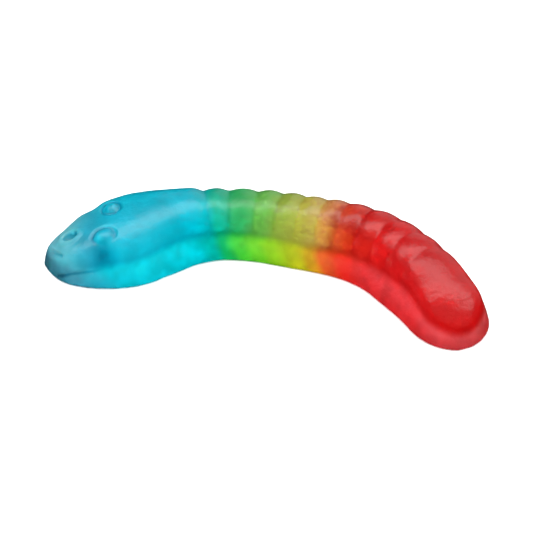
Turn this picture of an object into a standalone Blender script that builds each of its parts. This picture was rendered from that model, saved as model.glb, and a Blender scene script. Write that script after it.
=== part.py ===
# A gummy snake sweet: one piece of poured gelatine, lying on the flat base that set uppermost in
# its mould. The body is modelled straight along +X, from the nose at 0 to the tip of the tail, and
# a curve modifier then bends it into its lazy arc. Sizes are in millimetres until they reach a mesh.

import math

import bmesh
import bpy
from mathutils import Matrix, Vector

MM = 0.001

# The line that the middle of the base follows on the table, nose first.
SPINE = (
    (-31.6, 0.5),
    (-26.5, 0.1),
    (-21.0, 1.15),
    (-16.5, 3.1),
    (-10.0, 5.3),
    (-3.0, 5.95),
    (7.1, 3.7),
    (16.4, -0.6),
    (22.15, -6.65),
    (26.1, -12.75),
    (28.85, -19.55),
)
SPINE_RESOLUTION = 48

# Sections of the straight body: how far from the nose, half the width of the base, the height
# of the shoulder that ends the side wall, how far the wall has leaned in there, the height of
# the crown, and how square the crown is (2 is an ellipse, and more has a flatter top).
SECTIONS = (
    (0.0, 2.8, 2.2, 0.3, 4.8, 2.5),
    (4.0, 5.05, 2.6, 0.35, 5.6, 2.9),
    (8.5, 6.8, 3.2, 0.5, 7.5, 2.7),
    (13.0, 7.35, 3.8, 1.0, 8.6, 2.5),
    (17.5, 6.75, 4.1, 1.5, 9.0, 2.4),
    (22.0, 5.8, 4.2, 1.45, 8.6, 2.2),
    (26.5, 5.4, 4.0, 1.3, 8.0, 2.1),
    (36.0, 5.65, 3.7, 1.4, 8.1, 2.1),
    (46.0, 5.55, 3.5, 1.4, 8.8, 2.2),
    (52.0, 5.6, 3.7, 1.4, 9.1, 2.3),
    (58.0, 5.85, 4.3, 1.55, 9.0, 2.3),
    (63.0, 5.9, 4.7, 1.55, 8.2, 2.15),
    (67.0, 5.85, 4.4, 1.35, 7.1, 2.05),
    (71.0, 5.65, 3.6, 1.05, 5.8, 2.0),
    (75.0, 5.05, 2.4, 0.6, 4.2, 2.0),
)

# The rounding of each end, by its reach along the body in plan and in the crown above the
# shoulder, and how far its wall leans back over the height of the shoulder.
NOSE_END = {"plan": 4.2, "crown": 4.6, "lean": 0.5}
TAIL_END = {"plan": 6.4, "crown": 6.6, "lean": 0.45}
LEAN_FADE = 6.5

# The rounded edge round the base, and the power of the height by which the side wall leans in.
RIM = {"height": 0.45, "inset": 0.25}
WALL_CURVE = 1.3

# Distances from the nose of the grooves across the crown. They leave ten ribs between them, which
# stand a little proud of the walls and level with the smooth head and tail.
GROOVES = (24.5, 27.9, 31.9, 35.3, 38.7, 41.9, 45.1, 48.7, 52.6, 56.5, 60.4)
GROOVE = {"first_depth": 0.5, "last_depth": 0.26, "sharpness": 0.85}
CROWN_EDGE = {"proud": 0.26, "share": 0.14, "fade": 6.0}
RIB_RINGS = (0.0, 0.1, 0.28, 0.5, 0.72, 0.9)

# The hollows that run down each cheek from under the eye: how far from the nose, from the middle
# and above the base they are, and their reach and depth.
HOLLOWS = (
    (8.2, 5.4, 5.9, 2.6, 0.7),
    (8.0, 6.1, 4.1, 2.6, 0.5),
)

# The line of the mouth on each side wall, by distance from the nose and height, and its groove.
MOUTH = ((2.6, 0.6), (4.1, 1.8), (5.9, 2.6), (7.6, 3.1))
MOUTH_WIDTH = 0.36

# The face's parts, by distance from the nose and angle over the crown from the left shoulder. The
# eyes sit a little askew, with the left one further back.
EYES = {"left": (10.7, 77.0), "right": (8.4, 113.0)}
EYE = {"radius": 1.5, "sunk": 1.05}
EYE_GROOVE = {"radius": 1.5, "width": 0.38}
NOSE = (3.7, 93.0)
NOSE_RIM = {"radius": 1.25, "half_width": 1.6, "thickness": 0.45, "sunk": 0.2}
NOSTRIL = {"radius": 0.85, "half_width": 1.15, "sunk": 0.1}
SLITS = {"left": 28.0, "right": 152.0}
SLIT = {"alongs": (0.5, 1.2, 2.0, 2.9), "radius": 0.44}

# Small steps along the body and round the crown, in degrees, that show how the crown faces.
PROBE = {"along": 0.01, "angle": 0.5}

WALL_STEPS = 5
CROWN_STEPS = 26
OUTLINE_STEPS = 2 * WALL_STEPS + CROWN_STEPS
BASE_STEPS = 5
BALL = {"segments": 20, "rings": 12}
TORUS = {"major": 24, "minor": 8}
HEAD_RING = 0.6
TAIL_RING = 0.95
END_RINGS = 8

COLOURS = (
    (0.00, (0.00, 0.42, 0.62)),
    (0.33, (0.00, 0.48, 0.58)),
    (0.45, (0.12, 0.55, 0.10)),
    (0.56, (0.62, 0.60, 0.04)),
    (0.64, (0.80, 0.10, 0.03)),
    (1.00, (0.68, 0.01, 0.02)),
)
ROUGHNESS = 0.36


def clear_scene():
    for old in list(bpy.data.objects):
        bpy.data.objects.remove(old, do_unlink=True)


def make_collection(name, shown=True):
    collection = bpy.data.collections.new(name)
    collection.hide_render = not shown
    bpy.context.scene.collection.children.link(collection)
    return collection


def add_object(name, data, collection):
    made = bpy.data.objects.new(name, data)
    collection.objects.link(made)
    return made


# The curve that the body is bent along


def make_spine(collection):
    data = bpy.data.curves.new("spine", "CURVE")
    data.dimensions = "2D"
    data.resolution_u = SPINE_RESOLUTION
    spline = data.splines.new("BEZIER")
    spline.bezier_points.add(len(SPINE) - 1)
    for point, place in zip(spline.bezier_points, SPINE):
        point.co = (place[0] * MM, place[1] * MM, 0)
        point.handle_left_type = point.handle_right_type = "AUTO"
    spine = add_object("spine", data, collection)
    spine.hide_render = True
    bpy.context.view_layer.update()
    return spine


# Sections and relief of the straight body


def smooth_step(low, high, value):
    share = min(max((value - low) / (high - low), 0.0), 1.0)
    return share * share * (3 - 2 * share)


def section_at(along):
    """The five sizes of the section there, each on a smooth curve through SECTIONS."""
    index = max(i for i, row in enumerate(SECTIONS[:-1]) if i == 0 or row[0] <= along)
    start, end = SECTIONS[index], SECTIONS[index + 1]
    before = SECTIONS[max(index - 1, 0)]
    after = SECTIONS[min(index + 2, len(SECTIONS) - 1)]
    span = end[0] - start[0]
    t = (along - start[0]) / span
    found = []
    for k in range(1, len(start)):
        leave = (end[k] - before[k]) / (end[0] - before[0]) * span
        arrive = (after[k] - start[k]) / (after[0] - start[0]) * span
        found.append(
            (2 * t**3 - 3 * t**2 + 1) * start[k]
            + (t**3 - 2 * t**2 + t) * leave
            + (3 * t**2 - 2 * t**3) * end[k]
            + (t**3 - t**2) * arrive
        )
    return found


def round_end(distance, reach):
    """From 0 at the tip of an end to 1 where its rounding stops."""
    left = 1 - min(distance / reach, 1.0)
    return math.sqrt(max(1 - left * left, 0.0))


def crown_point(section, angle):
    """Side and height of a point of the full crown, by the angle over it in radians."""
    half, shoulder, inset, height, square = section
    cos, sin = math.cos(angle), max(math.sin(angle), 0.0)
    side = math.copysign(abs(cos) ** (2 / square), cos) * (half - inset)
    return side, shoulder + (height - shoulder) * sin ** (2 / square)


def outline_point(section, step):
    """Side and height of a point of the full section, from the left rim over to the right one."""
    half, shoulder, inset = section[:3]
    if step > WALL_STEPS + CROWN_STEPS:
        side, high = outline_point(section, OUTLINE_STEPS - step)
        return -side, high
    if step == 0:
        return half - RIM["inset"], 0.0
    if step <= WALL_STEPS:
        high = RIM["height"] + (shoulder - RIM["height"]) * (step - 1) / (WALL_STEPS - 1)
        return half - inset * (high / shoulder) ** WALL_CURVE, high
    return crown_point(section, math.pi * (step - WALL_STEPS) / CROWN_STEPS)


def groove_at(along):
    """Depth of the grooves between the ribs there. They get shallower towards the tail."""
    index = max(sum(place <= along for place in GROOVES) - 1, 0)
    index = min(index, len(GROOVES) - 2)
    share = (along - GROOVES[index]) / (GROOVES[index + 1] - GROOVES[index])
    if not -0.5 < share < 1.5:
        return 0.0
    back = (along - GROOVES[0]) / (GROOVES[-1] - GROOVES[0])
    depth = GROOVE["first_depth"] + (GROOVE["last_depth"] - GROOVE["first_depth"]) * back
    return depth * (1 - abs(math.sin(math.pi * share)) ** GROOVE["sharpness"])


def crown_relief(along, step):
    """How far the crown stands out of its plain section: a soft edge, then ribs and grooves."""
    over = (step - WALL_STEPS) / CROWN_STEPS
    edge = smooth_step(0.0, CROWN_EDGE["share"], min(over, 1 - over))
    ribbed = smooth_step(GROOVES[0] - CROWN_EDGE["fade"], GROOVES[0], along)
    ribbed *= 1 - smooth_step(GROOVES[-1], GROOVES[-1] + CROWN_EDGE["fade"], along)
    return edge * (CROWN_EDGE["proud"] * ribbed - groove_at(along))


def end_lean(point, length):
    """How far along the body a point is moved because the walls of both ends lean back."""
    nose = NOSE_END["lean"] * (1 - smooth_step(0, LEAN_FADE, point.x))
    tail = TAIL_END["lean"] * (1 - smooth_step(0, LEAN_FADE, length - point.x))
    shoulder = section_at(point.x)[1]
    return Vector(((nose - tail) * point.z / shoulder, 0, 0))


def cheek_hollow(point):
    """How far the hollows under the eyes pull a point in towards the middle."""
    depth = 0.0
    for along, side, height, reach, full in HOLLOWS:
        centre = Vector((along, math.copysign(side, point.y), height))
        share = min((point - centre).length / reach, 1.0)
        depth += full * (1 - share * share) ** 2
    return Vector((0, -math.copysign(depth, point.y), 0))


def at_ends(along, side, high, length):
    """Where a point of the full section goes when both ends are rounded."""
    tail = length - along
    narrow = round_end(along, NOSE_END["plan"]) * round_end(tail, TAIL_END["plan"])
    rise = round_end(along, NOSE_END["crown"]) * round_end(tail, TAIL_END["crown"])
    shoulder = min(high, section_at(along)[1])
    return Vector((along, narrow * side, shoulder + (high - shoulder) * rise)), narrow


def body_point(along, step, length):
    """The surface point at a ring and a step round it. The last steps cross the base."""
    section = section_at(along)
    if step > OUTLINE_STEPS:
        across = 2 * (step - OUTLINE_STEPS) / BASE_STEPS - 1
        return at_ends(along, outline_point(section, 0)[0] * across, 0, length)[0]
    point, narrow = at_ends(along, *outline_point(section, step), length)
    if WALL_STEPS < step < WALL_STEPS + CROWN_STEPS:
        before, after = outline_point(section, step - 1), outline_point(section, step + 1)
        outwards = Vector((0, after[1] - before[1], before[0] - after[0])).normalized()
        point += outwards * crown_relief(along, step) * narrow
    return point + cheek_hollow(point) + end_lean(point, length)


def end_tip(along, length):
    """The middle of the end wall."""
    tip = Vector((along, 0, section_at(along)[1] / 2))
    return tip + end_lean(tip, length)


# The body's mesh: a sphere whose rings and meridians are laid on the sections


def ring_places(length):
    """Distances of the rings from the nose: close at the ends and at each groove."""
    arc = [1 - math.cos(math.pi / 2 * i / END_RINGS) for i in range(1, END_RINGS + 1)]
    places = [NOSE_END["plan"] * share for share in arc]
    head_start = places[-1]
    ribs_start = GROOVES[0] - (GROOVES[1] - GROOVES[0]) / 2
    ribs_end = GROOVES[-1] + (GROOVES[-1] - GROOVES[-2]) / 2
    tail_start = length - TAIL_END["plan"]
    places += even_places(head_start, ribs_start, HEAD_RING)
    bounds = (2 * GROOVES[0] - GROOVES[1], *GROOVES, 2 * GROOVES[-1] - GROOVES[-2])
    for start, end in zip(bounds, bounds[1:]):
        ribs = [start + (end - start) * share for share in RIB_RINGS]
        places += [place for place in ribs if ribs_start <= place < ribs_end]
    places.append(ribs_end)
    places += even_places(ribs_end, tail_start, TAIL_RING)
    places += [length - TAIL_END["plan"] * share for share in reversed(arc)]
    return places


def even_places(start, end, spacing):
    """Places between two distances, about the spacing apart and without the two ends."""
    count = round((end - start) / spacing)
    return [start + (end - start) * i / count for i in range(1, count)]


def body_mesh(length):
    places = ring_places(length)
    around = OUTLINE_STEPS + BASE_STEPS
    shape = bmesh.new()
    bmesh.ops.create_uvsphere(
        shape, u_segments=around, v_segments=len(places) + 1, radius=1
    )
    for vert in shape.verts:
        ring = round(math.acos(max(-1.0, min(1.0, vert.co.z))) / math.pi * (len(places) + 1))
        if ring == 0:
            vert.co = end_tip(0, length) * MM
        elif ring == len(places) + 1:
            vert.co = end_tip(length, length) * MM
        else:
            turn = math.atan2(vert.co.y, vert.co.x) % (2 * math.pi)
            step = round(turn / (2 * math.pi) * around) % around
            vert.co = body_point(places[ring - 1], step, length) * MM
    bmesh.ops.recalc_face_normals(shape, faces=shape.faces)
    mesh = bpy.data.meshes.new("gummy_snake")
    shape.to_mesh(mesh)
    shape.free()
    return mesh


# Eyes and nose, as solids that are joined to the body or cut from it


def on_crown(along, angle, length):
    """A frame on the crown whose Z points out of it and whose Y points across the body."""

    def surface(along, angle):
        side, high = crown_point(section_at(along), math.radians(angle))
        point = at_ends(along, side, high, length)[0]
        return point + end_lean(point, length)

    place = surface(along, angle)
    forwards = surface(along + PROBE["along"], angle) - place
    across = surface(along, angle - PROBE["angle"]) - place
    outwards = forwards.cross(across)
    turn = outwards.to_track_quat("Z", "Y").to_matrix().to_4x4()
    return Matrix.Translation(place * MM) @ turn


def sink(frame, depth):
    return frame @ Matrix.Translation((0, 0, -depth * MM))


def add_ball(name, radius, matrix, collection, half_width=None):
    shape = bmesh.new()
    bmesh.ops.create_uvsphere(
        shape, u_segments=BALL["segments"], v_segments=BALL["rings"], radius=radius * MM
    )
    bmesh.ops.scale(shape, vec=(1, (half_width or radius) / radius, 1), verts=shape.verts)
    bmesh.ops.transform(shape, matrix=matrix, verts=shape.verts)
    mesh = bpy.data.meshes.new(name)
    shape.to_mesh(mesh)
    shape.free()
    return add_object(name, mesh, collection)


def add_ring(name, radius, thickness, matrix, collection, half_width=None):
    bpy.ops.mesh.primitive_torus_add(
        major_radius=radius * MM,
        minor_radius=thickness * MM,
        major_segments=TORUS["major"],
        minor_segments=TORUS["minor"],
    )
    ring = bpy.context.object
    ring.name = name
    ring.data.transform(matrix @ Matrix.Diagonal((1, (half_width or radius) / radius, 1, 1)))
    for owner in ring.users_collection:
        owner.objects.unlink(ring)
    collection.objects.link(ring)
    return ring


def add_tube(name, radius, places, collection):
    """A closed tube through places along the body."""
    data = bpy.data.curves.new(name, "CURVE")
    data.dimensions = "3D"
    data.bevel_depth = radius * MM
    data.bevel_resolution = 2
    data.use_fill_caps = True
    spline = data.splines.new("POLY")
    spline.points.add(len(places) - 1)
    for point, place in zip(spline.points, places):
        point.co = (*(place * MM), 1)
    line = add_object(f"{name}_line", data, collection)
    graph = bpy.context.evaluated_depsgraph_get()
    mesh = bpy.data.meshes.new_from_object(line.evaluated_get(graph))
    bpy.data.objects.remove(line, do_unlink=True)
    shape = bmesh.new()
    shape.from_mesh(mesh)
    bmesh.ops.remove_doubles(shape, verts=shape.verts, dist=0.001 * MM)
    bmesh.ops.recalc_face_normals(shape, faces=shape.faces)
    shape.to_mesh(mesh)
    shape.free()
    return add_object(name, mesh, collection)


def wall_place(along, high, side, length):
    """A point on a side wall, at a height up to the shoulder."""
    half, shoulder, inset = section_at(along)[:3]
    across = round_end(along, NOSE_END["plan"]) * (half - inset * (high / shoulder) ** WALL_CURVE)
    point = Vector((along, side * across, high))
    return point + end_lean(point, length)


def add_face(length, raised, cutters):
    for name, place in EYES.items():
        eye = on_crown(*place, length)
        add_ball(f"eye_{name}", EYE["radius"], sink(eye, EYE["sunk"]), raised)
        add_ring(f"groove_{name}", EYE_GROOVE["radius"], EYE_GROOVE["width"], eye, cutters)
    for name, angle in SLITS.items():
        slit = [on_crown(along, angle, length).translation / MM for along in SLIT["alongs"]]
        add_tube(f"slit_{name}", SLIT["radius"], slit, cutters)
    for name, side in (("left", 1), ("right", -1)):
        mouth = [wall_place(*place, side, length) for place in MOUTH]
        add_tube(f"mouth_{name}", MOUTH_WIDTH, mouth, cutters)
    front = on_crown(*NOSE, length)
    rim = NOSE_RIM
    add_ring(
        "nose_rim", rim["radius"], rim["thickness"], sink(front, rim["sunk"]), raised, rim["half_width"]
    )
    inside = sink(front, NOSTRIL["sunk"])
    add_ball("nostril", NOSTRIL["radius"], inside, cutters, NOSTRIL["half_width"])


def join_and_bend(body, raised, cutters, spine):
    for name, operation, collection in (
        ("Face", "UNION", raised),
        ("Grooves", "DIFFERENCE", cutters),
    ):
        boolean = body.modifiers.new(name, "BOOLEAN")
        boolean.operation = operation
        boolean.operand_type = "COLLECTION"
        boolean.collection = collection
        boolean.solver = "EXACT"
    bend = body.modifiers.new("Bend", "CURVE")
    bend.object = spine
    bend.deform_axis = "POS_X"


def keep_result(body, helpers):
    """Replaces the body's mesh by what its modifiers make, centred over its base, then clears up."""
    graph = bpy.context.evaluated_depsgraph_get()
    mesh = bpy.data.meshes.new_from_object(body.evaluated_get(graph))
    body.modifiers.clear()
    body.data = mesh
    corners = [vert.co for vert in mesh.vertices]
    low = Vector(min(c[i] for c in corners) for i in range(3))
    high = Vector(max(c[i] for c in corners) for i in range(3))
    middle = (low + high) / 2
    mesh.transform(Matrix.Translation((-middle.x, -middle.y, -low.z)))
    mesh.shade_smooth()
    for collection in helpers:
        for helper in list(collection.objects):
            bpy.data.objects.remove(helper, do_unlink=True)
        bpy.data.collections.remove(collection)


# Gelatine, coloured along the body as it was poured


def gelatine():
    material = bpy.data.materials.new("gelatine")
    material.use_nodes = True
    nodes, links = material.node_tree.nodes, material.node_tree.links
    shader = nodes["Principled BSDF"]
    shader.inputs["Roughness"].default_value = ROUGHNESS
    shader.inputs["Metallic"].default_value = 0.0
    place = nodes.new("ShaderNodeTexCoord")
    split = nodes.new("ShaderNodeSeparateXYZ")
    spread = nodes.new("ShaderNodeMapRange")
    spread.inputs["From Min"].default_value = SPINE[0][0] * MM
    spread.inputs["From Max"].default_value = -SPINE[0][0] * MM
    ramp = nodes.new("ShaderNodeValToRGB")
    stops = ramp.color_ramp.elements
    stops.remove(stops[1])
    for index, (share, colour) in enumerate(COLOURS):
        stop = stops[0] if index == 0 else stops.new(share)
        stop.position = share
        stop.color = (*colour, 1)
    links.new(place.outputs["Object"], split.inputs["Vector"])
    links.new(split.outputs["X"], spread.inputs["Value"])
    links.new(spread.outputs["Result"], ramp.inputs["Fac"])
    links.new(ramp.outputs["Color"], shader.inputs["Base Color"])
    return material


def main():
    clear_scene()
    snake = make_collection("gummy_snake")
    guides = make_collection("guides", shown=False)
    raised = make_collection("raised", shown=False)
    cutters = make_collection("cutters", shown=False)
    spine = make_spine(guides)
    length = spine.data.splines[0].calc_length() / MM
    body = add_object("gummy_snake", body_mesh(length), snake)
    add_face(length, raised, cutters)
    join_and_bend(body, raised, cutters, spine)
    keep_result(body, (guides, raised, cutters))
    body.data.materials.clear()
    body.data.materials.append(gelatine())


main()
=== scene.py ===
import math
import bpy
import numpy as np
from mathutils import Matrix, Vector
from mathutils.kdtree import KDTree


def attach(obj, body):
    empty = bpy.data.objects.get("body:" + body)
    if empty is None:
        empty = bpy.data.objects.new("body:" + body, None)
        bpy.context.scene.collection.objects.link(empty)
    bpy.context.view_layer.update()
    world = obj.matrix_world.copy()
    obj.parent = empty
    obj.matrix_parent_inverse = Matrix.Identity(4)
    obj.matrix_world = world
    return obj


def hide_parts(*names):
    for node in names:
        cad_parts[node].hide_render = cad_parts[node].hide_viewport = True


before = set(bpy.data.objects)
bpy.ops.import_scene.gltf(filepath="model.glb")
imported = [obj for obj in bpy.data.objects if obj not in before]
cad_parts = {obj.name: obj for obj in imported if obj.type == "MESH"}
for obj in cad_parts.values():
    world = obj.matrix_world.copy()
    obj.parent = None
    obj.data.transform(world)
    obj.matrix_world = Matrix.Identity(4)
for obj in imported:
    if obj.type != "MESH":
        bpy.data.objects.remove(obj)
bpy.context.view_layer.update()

bpy.ops.object.select_all(action="DESELECT")

mm = 0.001


# Helpers for working by operators

def pick(piece):
    bpy.ops.object.select_all(action="DESELECT")
    piece.select_set(True)
    bpy.context.view_layer.objects.active = piece


def applyModifier(piece, kind, name, **settings):
    modifier = piece.modifiers.new(name, kind)
    for key, value in settings.items():
        setattr(modifier, key, value)
    pick(piece)
    bpy.ops.object.modifier_apply(modifier=name)


# The snake's skin starts as a merged copy of its solid, remeshed so that moulded edges turn soft

skin = {
    "mergeDistance": 0.001 * mm,
    "voxel": 0.185 * mm,
    "softenTimes": 5,
    "softenShare": 0.5,
    "creaseTimes": 34,
    "ribTimes": 13,
    "leastWeight": 0.02,
    "cloudDepth": 1,
    "waves": {"size": 5.0 * mm, "strength": 0.14 * mm},
    "dimples": {"size": 1.3 * mm, "strength": 0.05 * mm},
}


def makeCloudTexture(name, size):
    texture = bpy.data.textures.new(name, "CLOUDS")
    texture.noise_scale = size
    texture.noise_depth = skin["cloudDepth"]
    return texture


def makeSnake():
    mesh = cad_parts["gummy_snake"].data.copy()
    snake = bpy.data.objects.new("gummySnake", mesh)
    bpy.context.scene.collection.objects.link(snake)
    pick(snake)
    bpy.ops.object.mode_set(mode="EDIT")
    bpy.ops.mesh.select_all(action="SELECT")
    bpy.ops.mesh.remove_doubles(threshold=skin["mergeDistance"])
    bpy.ops.object.mode_set(mode="OBJECT")
    applyModifier(snake, "REMESH", "Remesh", mode="VOXEL", voxel_size=skin["voxel"])
    applyModifier(
        snake, "SMOOTH", "Soften", factor=skin["softenShare"], iterations=skin["softenTimes"]
    )
    return snake


def roughenSkin(snake):
    for name in ("waves", "dimples"):
        settings = skin[name]
        texture = makeCloudTexture(name, settings["size"])
        applyModifier(
            snake, "DISPLACE", name, texture=texture, texture_coords="LOCAL",
            strength=settings["strength"], mid_level=0.5,
        )
    for vert in snake.data.vertices:
        vert.co.z = max(vert.co.z, 0.0)  # it lies flat
    pick(snake)
    bpy.ops.object.shade_smooth()


snake = makeSnake()
print("skin made,", len(snake.data.polygons), "faces")


# Places on the skin that the colours and the painted shade follow: how far along the bend, how
# low on the wall, how deep in a groove. The line is the middle of the base, nose first. By the
# share of the length, creases are the heights where the wall ends and shades say how strong the
# painted shade along that crease is.

places = {
    "line": (
        (-32.1, 4.9), (-27.0, 4.5), (-21.5, 5.6), (-17.0, 7.5), (-10.5, 9.7), (-3.5, 10.4),
        (6.6, 8.1), (15.9, 3.8), (21.6, -2.2), (25.6, -8.3), (28.3, -15.1),
    ),
    "lineSteps": 32,
    "creases": (
        (0.00, 2.4), (0.11, 3.6), (0.17, 4.2), (0.23, 4.3), (0.30, 4.2), (0.36, 4.0),
        (0.48, 3.7), (0.61, 3.5), (0.70, 3.8), (0.77, 4.3), (0.84, 4.7), (0.92, 4.0), (1.00, 2.4),
    ),
    "shades": (
        (0.00, 0.6), (0.28, 0.6), (0.345, 1.0), (0.40, 0.9), (0.45, 0.5), (0.50, 0.3),
        (0.555, 0.3), (0.59, 1.0), (0.625, 0.8), (0.66, 0.25), (0.74, 0.35), (0.82, 0.9),
        (1.00, 0.9),
    ),
    "lag": 0.38,
    "wallBlend": 0.8 * mm,
    # the band of painted shade along the crease: how far above the crease height it lies and how
    # wide it is
    "creaseLift": 0.35 * mm,
    "creaseHalf": 0.55 * mm,
    "softenHalf": 0.9 * mm,
    "ribsStart": (0.26, 0.32),
    # hollowTimes, hollowFull, faceFull and faceEnd set the painted shade in grooves and in the
    # face's hollows: eye rings, nostrils and mouth
    "hollowTimes": 59,
    "hollowFull": 0.29 * mm,
    "faceFull": 0.08 * mm,
    "faceEnd": 0.18,
    # cheek: a patch of painted shade in the cheek hollows under the eyes
    "cheek": {"share": 0.095, "reach": 0.034, "height": 4.9 * mm, "spread": 1.9 * mm},
    # how high the painted shade along the bottom edge reaches
    "rimHeight": 2.8 * mm,
}


def bezierPath(points):
    bpy.ops.curve.primitive_bezier_curve_add()
    path = bpy.context.object
    path.data.dimensions = "2D"
    path.data.resolution_u = places["lineSteps"]
    knots = path.data.splines[0].bezier_points
    knots.add(len(points) - len(knots))
    for knot, place in zip(knots, points):
        knot.co = (place[0] * mm, place[1] * mm, 0)
        knot.handle_left_type = knot.handle_right_type = "AUTO"
    bpy.ops.object.convert(target="MESH")
    line = [vert.co.copy() for vert in path.data.vertices]
    bpy.data.objects.remove(path)
    return line


def shareAlong(piece, line):
    tree = KDTree(len(line))
    travelled = [0.0]
    for index, point in enumerate(line):
        tree.insert(point, index)
        if index:
            travelled.append(travelled[-1] + (point - line[index - 1]).length)
    tree.balance()
    shares = []
    for vert in piece.data.vertices:
        flat = Vector((vert.co.x, vert.co.y, 0))
        near, index, _ = tree.find(flat)
        low, high = max(index - 1, 0), min(index + 1, len(line) - 1)
        direction = (line[high] - line[low]).normalized()
        offset = flat - near
        far = max(direction.cross(offset).z, 0.0)  # the colours lag on the outer side of the bend
        reached = travelled[index] + offset.dot(direction) - far * places["lag"]
        shares.append(reached / travelled[-1])
    return np.array(shares)


def readVectors(collection, key):
    values = np.empty(len(collection) * 3)
    collection.foreach_get(key, values)
    return values.reshape(-1, 3)


def depthUnderSmooth(piece, times):
    verts = readVectors(piece.data.vertices, "co")
    normals = readVectors(piece.data.vertices, "normal")
    edges = np.empty(len(piece.data.edges) * 2, dtype=np.int32)
    piece.data.edges.foreach_get("vertices", edges)
    first, second = edges.reshape(-1, 2).T
    count = np.bincount(edges, minlength=len(verts))
    even = verts.copy()
    for _ in range(times):
        for axis in range(3):
            total = np.bincount(first, even[second, axis], len(verts))
            total += np.bincount(second, even[first, axis], len(verts))
            even[:, axis] = total / count
    return ((even - verts) * normals).sum(axis=1)


def keepAttribute(piece, name, values):
    attribute = piece.data.attributes.new(name, "FLOAT", "POINT")
    attribute.data.foreach_set("value", np.clip(values, 0, 1).astype(np.float32))


def heightOverCrease(piece, along):
    shares, creases = zip(*places["creases"])
    height = readVectors(piece.data.vertices, "co")[:, 2]
    return height - np.interp(along, shares, np.array(creases) * mm)


def bell(values, middle, half):
    return np.exp(-(((values - middle) / half) ** 2))


def softenWhere(piece, name, weights, times):
    group = piece.vertex_groups.new(name=name)
    for index, weight in enumerate(weights):
        if weight > skin["leastWeight"]:
            group.add([index], weight, "REPLACE")
    applyModifier(
        piece, "SMOOTH", name, factor=skin["softenShare"], iterations=times, vertex_group=name
    )


def markPlaces(piece, along):
    depth = depthUnderSmooth(piece, places["hollowTimes"])
    over = heightOverCrease(piece, along)
    height = readVectors(piece.data.vertices, "co")[:, 2]
    cheek = places["cheek"]
    aside = (along - cheek["share"]) / cheek["reach"]
    above = (height - cheek["height"]) / cheek["spread"]
    # the wall mask: where the lit copy, the painted glow of the wall, replaces the crown's
    # colours
    blend = np.clip(0.5 - over / (2 * places["wallBlend"]), 0, 1)
    keepAttribute(piece, "along", along)
    keepAttribute(piece, "wall", blend * blend * (3 - 2 * blend))
    # painted shade along the crease between crown and wall, as strong as the shades table says
    # there
    ledge = bell(over, places["creaseLift"], places["creaseHalf"])
    shade = np.interp(along, *zip(*places["shades"]))
    keepAttribute(piece, "crease", ledge * shade)
    # painted shade in grooves and hollows, by how far the skin lies under its smoothed self,
    # stronger on the face; it is weaker along the crease where that crease's own shade is weak
    full = np.where(along < places["faceEnd"], places["faceFull"], places["hollowFull"])
    keepAttribute(piece, "hollow", depth / full * (1 - ledge * (1 - shade)))
    # painted shade in the cheek hollows
    keepAttribute(piece, "cheek", np.exp(-((aside**2 + above**2) ** 2)))
    # painted shade along the bottom edge, darkest at the table
    keepAttribute(piece, "rim", 1 - height / places["rimHeight"])


along = shareAlong(snake, bezierPath(places["line"]))
ledgeWeights = bell(heightOverCrease(snake, along), 0, places["softenHalf"])
softenWhere(snake, "ledge", ledgeWeights, skin["creaseTimes"])
softenWhere(snake, "ribs", np.interp(along, places["ribsStart"], (0, 1)), skin["ribTimes"])
roughenSkin(snake)
markPlaces(snake, along)
print("places on the skin marked")


# Gelatine, with one row of colours for the crown and one for the wall under it: lit and
# shaded copies of the same colours, the wall's row brightened as painted glow of light through it

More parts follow.
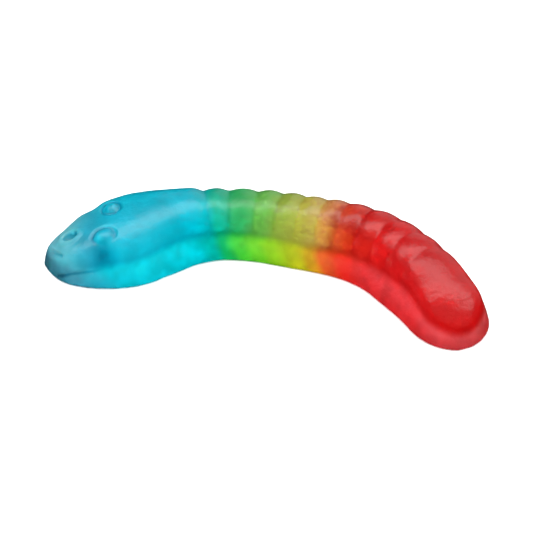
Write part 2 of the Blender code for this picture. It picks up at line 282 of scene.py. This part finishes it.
gelatine = {
    "roughness": (0.19, 0.29),
    "coat": 0.3,
    "coatRoughness": 0.35,
    "transmission": 0.7,
    "ior": 1.42,
    "subsurface": 1.0,
    "radius": (1.0, 1.0, 1.0),
    "depth": 2.0 * mm,
    # crown row: the darker, shaded copy; its first stops paint shade at the nose tip and a
    # painted highlight on the snout front
    "crown": (
        (0.00, (0.12, 0.34, 0.44)),
        (0.02, (0.26, 0.74, 0.84)),
        (0.05, (0.20, 0.72, 0.81)),
        (0.12, (0.01, 0.47, 0.60)),
        (0.30, (0.00, 0.43, 0.55)),
        (0.325, (0.00, 0.42, 0.46)),
        (0.355, (0.01, 0.42, 0.26)),
        (0.40, (0.05, 0.39, 0.13)),
        (0.455, (0.18, 0.37, 0.10)),
        (0.495, (0.37, 0.37, 0.08)),
        (0.535, (0.51, 0.375, 0.09)),
        (0.565, (0.60, 0.345, 0.13)),
        (0.594, (0.60, 0.17, 0.10)),
        (0.614, (0.55, 0.045, 0.035)),
        (0.66, (0.50, 0.009, 0.010)),
        (1.00, (0.66, 0.009, 0.010)),
    ),
    # wall row: the same colours brightened as painted glow of light through the wall, with a pale
    # painted reflection on the red part and the tail tip; its first stops are darker at the snout
    # as painted shade
    "wall": (
        (0.00, (0.12, 0.33, 0.42)),
        (0.05, (0.11, 0.42, 0.54)),
        (0.085, (0.06, 0.58, 0.70)),
        (0.12, (0.01, 0.79, 0.88)),
        (0.29, (0.00, 0.74, 0.81)),
        (0.33, (0.00, 0.60, 0.52)),
        (0.36, (0.02, 0.67, 0.21)),
        (0.40, (0.15, 0.78, 0.08)),
        (0.445, (0.29, 0.78, 0.05)),
        (0.485, (0.44, 0.76, 0.03)),
        (0.53, (0.70, 0.73, 0.03)),
        (0.562, (0.80, 0.46, 0.03)),
        (0.593, (0.88, 0.14, 0.04)),
        (0.645, (1.00, 0.05, 0.04)),
        (0.71, (0.84, 0.08, 0.09)),
        (0.90, (0.82, 0.07, 0.08)),
        (1.00, (0.94, 0.18, 0.20)),
    ),
    # strengths of the painted shade along the crease, in grooves and hollows, in the cheek hollow
    # and along the bottom edge
    "creaseDepth": 0.25,
    "hollowDepth": 0.4,
    "cheekDepth": 0.7,
    "rimDepth": 0.4,
    "rimShift": -0.025,
    # patches: uneven brightness painted as patchy light passing through the gelatine, stronger on
    # the wall
    "patches": {
        "scale": 420, "detail": 1.0, "between": (0.35, 0.65),
        "crown": (0.93, 1.05), "wall": (0.84, 1.12),
    },
    "cloud": {"scale": 260, "detail": 2.0, "spread": 0.012},
    "grain": {"scale": 1500, "detail": 3.0, "distance": 0.12 * mm, "strength": 0.7},
}


def addAttribute(nodes, name):
    node = nodes.new("ShaderNodeAttribute")
    node.attribute_name = name
    return node.outputs["Fac"]


def addRamp(nodes, links, colours, place):
    ramp = nodes.new("ShaderNodeValToRGB")
    ramp.color_ramp.interpolation = "EASE"
    stops = ramp.color_ramp.elements
    stops.remove(stops[1])
    for index, (share, colour) in enumerate(colours):
        stop = stops[0] if index == 0 else stops.new(share)
        stop.position = share
        stop.color = (*colour, 1)
    links.new(place, ramp.inputs["Fac"])
    return ramp.outputs["Color"]


def addMix(nodes, links, share, first, second):
    mix = nodes.new("ShaderNodeMix")
    mix.data_type = "RGBA"
    links.new(share, mix.inputs["Factor"])
    links.new(first, mix.inputs["A"])
    links.new(second, mix.inputs["B"])
    return mix.outputs["Result"]


# painted shade: raises the colour to a higher power, darker and deeper in hue, where the mask is
# high
def addPaintedShade(nodes, links, share, colour, depth):
    darker = nodes.new("ShaderNodeGamma")
    links.new(colour, darker.inputs["Color"])
    links.new(addRange(nodes, links, share, 1, 1 + depth), darker.inputs["Gamma"])
    return darker.outputs["Color"]


def addSum(nodes, links, first, second):
    total = nodes.new("ShaderNodeMath")
    links.new(first, total.inputs[0])
    links.new(second, total.inputs[1])
    return total.outputs["Value"]


def addNoise(nodes, links, where, settings):
    noise = nodes.new("ShaderNodeTexNoise")
    noise.inputs["Scale"].default_value = settings["scale"]
    noise.inputs["Detail"].default_value = settings["detail"]
    links.new(where, noise.inputs["Vector"])
    return noise.outputs["Fac"]


def addRange(nodes, links, value, low, high, start=0.0, end=1.0):
    spread = nodes.new("ShaderNodeMapRange")
    spread.inputs["From Min"].default_value = start
    spread.inputs["From Max"].default_value = end
    spread.inputs["To Min"].default_value = low
    spread.inputs["To Max"].default_value = high
    links.new(value, spread.inputs["Value"])
    return spread.outputs["Result"]


def makeGelatine():
    material = bpy.data.materials.new("gelatine")
    material.use_nodes = True
    nodes, links = material.node_tree.nodes, material.node_tree.links
    shader = nodes["Principled BSDF"]
    shader.inputs["Transmission Weight"].default_value = gelatine["transmission"]
    shader.inputs["IOR"].default_value = gelatine["ior"]
    shader.inputs["Coat Weight"].default_value = gelatine["coat"]
    shader.inputs["Coat Roughness"].default_value = gelatine["coatRoughness"]
    shader.inputs["Subsurface Weight"].default_value = gelatine["subsurface"]
    shader.inputs["Subsurface Scale"].default_value = gelatine["depth"]
    shader.inputs["Subsurface Radius"].default_value = gelatine["radius"]

    where = nodes.new("ShaderNodeTexCoord").outputs["Object"]
    cloud = addNoise(nodes, links, where, gelatine["cloud"])
    spread = gelatine["cloud"]["spread"]
    shift = addRange(nodes, links, cloud, -spread, spread)
    place = addSum(nodes, links, addAttribute(nodes, "along"), shift)
    rimLag = addRange(nodes, links, addAttribute(nodes, "rim"), 0, gelatine["rimShift"])
    place = addSum(nodes, links, place, rimLag)
    # painted patchy light through the gelatine: the noise scales each row's brightness
    patches = gelatine["patches"]
    uneven = addNoise(nodes, links, where, patches)
    patch = addRange(nodes, links, uneven, 0, 1, *patches["between"])
    colours = []
    for name in ("crown", "wall"):
        shaded = nodes.new("ShaderNodeHueSaturation")
        links.new(addRamp(nodes, links, gelatine[name], place), shaded.inputs["Color"])
        links.new(addRange(nodes, links, patch, *patches[name]), shaded.inputs["Value"])
        colours.append(shaded.outputs["Color"])
    # the wall mask mixes the crown's shaded colours into the wall's painted glow
    colour = addMix(nodes, links, addAttribute(nodes, "wall"), *colours)
    # painted shade in the crease, grooves and hollows, the cheek hollow and along the bottom edge
    for name in ("crease", "hollow", "cheek", "rim"):
        depth = gelatine[name + "Depth"]
        colour = addPaintedShade(nodes, links, addAttribute(nodes, name), colour, depth)
    links.new(colour, shader.inputs["Base Color"])

    grain = addNoise(nodes, links, where, gelatine["grain"])
    rough = addRange(nodes, links, grain, *gelatine["roughness"])
    links.new(rough, shader.inputs["Roughness"])
    bump = nodes.new("ShaderNodeBump")
    bump.inputs["Strength"].default_value = gelatine["grain"]["strength"]
    bump.inputs["Distance"].default_value = gelatine["grain"]["distance"]
    links.new(grain, bump.inputs["Height"])
    links.new(bump.outputs["Normal"], shader.inputs["Normal"])
    return material


snake.data.materials.clear()
snake.data.materials.append(makeGelatine())
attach(snake, "root")
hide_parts("gummy_snake")
print("gelatine done")


# Pale table, lights and camera

stage = {
    "floorSize": 3.0,
    "floorDrop": 0.02 * mm,
    "floorColour": (0.92, 0.92, 0.92),
    "floorRoughness": 0.6,
    "overhead": {"place": (0.0, -0.1, 0.6), "size": (1.6, 1.25), "power": 7.5},
    "strip": {"place": (0.0, 0.12, 0.6), "size": (1.4, 0.38), "power": 3.9},
    "side": {"place": (0.17, 0.28, 0.13), "size": (0.4, 0.27), "power": 0.2},
    "world": 0.95,
}
camera = {
    "lens": 200,
    "sensor": 36,
    "clipStart": 0.01,
    "distance": 0.427,
    "elevation": 38.0,
    "target": (0.38 * mm, 1.39 * mm, 1.78 * mm),
}


def makeFloor():
    place = (0, 0, -stage["floorDrop"])
    bpy.ops.mesh.primitive_plane_add(size=stage["floorSize"], location=place)
    floor = bpy.context.object
    floor.name = "table"
    paint = bpy.data.materials.new("paleTable")
    paint.use_nodes = True
    shader = paint.node_tree.nodes["Principled BSDF"]
    shader.inputs["Base Color"].default_value = (*stage["floorColour"], 1)
    shader.inputs["Roughness"].default_value = stage["floorRoughness"]
    floor.data.materials.append(paint)
    floor.visible_glossy = False


def makeLight(name, settings):
    bpy.ops.object.light_add(type="AREA", location=settings["place"])
    light = bpy.context.object
    light.name = name
    light.data.shape = "RECTANGLE"
    light.data.size, light.data.size_y = settings["size"]
    light.data.energy = settings["power"]
    light.rotation_euler = light.location.to_track_quat("Z", "Y").to_euler()
    return light


def makeWorld():
    world = bpy.data.worlds.new("studio")
    bpy.context.scene.world = world
    world.use_nodes = True
    nodes = world.node_tree.nodes
    nodes["Background"].inputs["Color"].default_value = (1, 1, 1, 1)
    nodes["Background"].inputs["Strength"].default_value = stage["world"]
    world.cycles_visibility.glossy = False


def makeCamera():
    bpy.ops.object.camera_add()
    view = bpy.context.object
    view.data.lens = camera["lens"]
    view.data.sensor_width = camera["sensor"]
    angle = math.radians(camera["elevation"])
    back = Vector((0, -math.cos(angle), math.sin(angle)))
    target = Vector(camera["target"])
    view.location = target + back * camera["distance"]
    view.rotation_euler = (-back).to_track_quat("-Z", "Y").to_euler()
    view.data.clip_start = camera["clipStart"]
    bpy.context.scene.camera = view


makeFloor()
makeLight("overhead", stage["overhead"]).visible_glossy = False
for name in ("strip", "side"):
    makeLight(name, stage[name]).visible_transmission = False
makeWorld()
makeCamera()
bpy.context.scene.view_settings.view_transform = "Standard"
print("stage set")
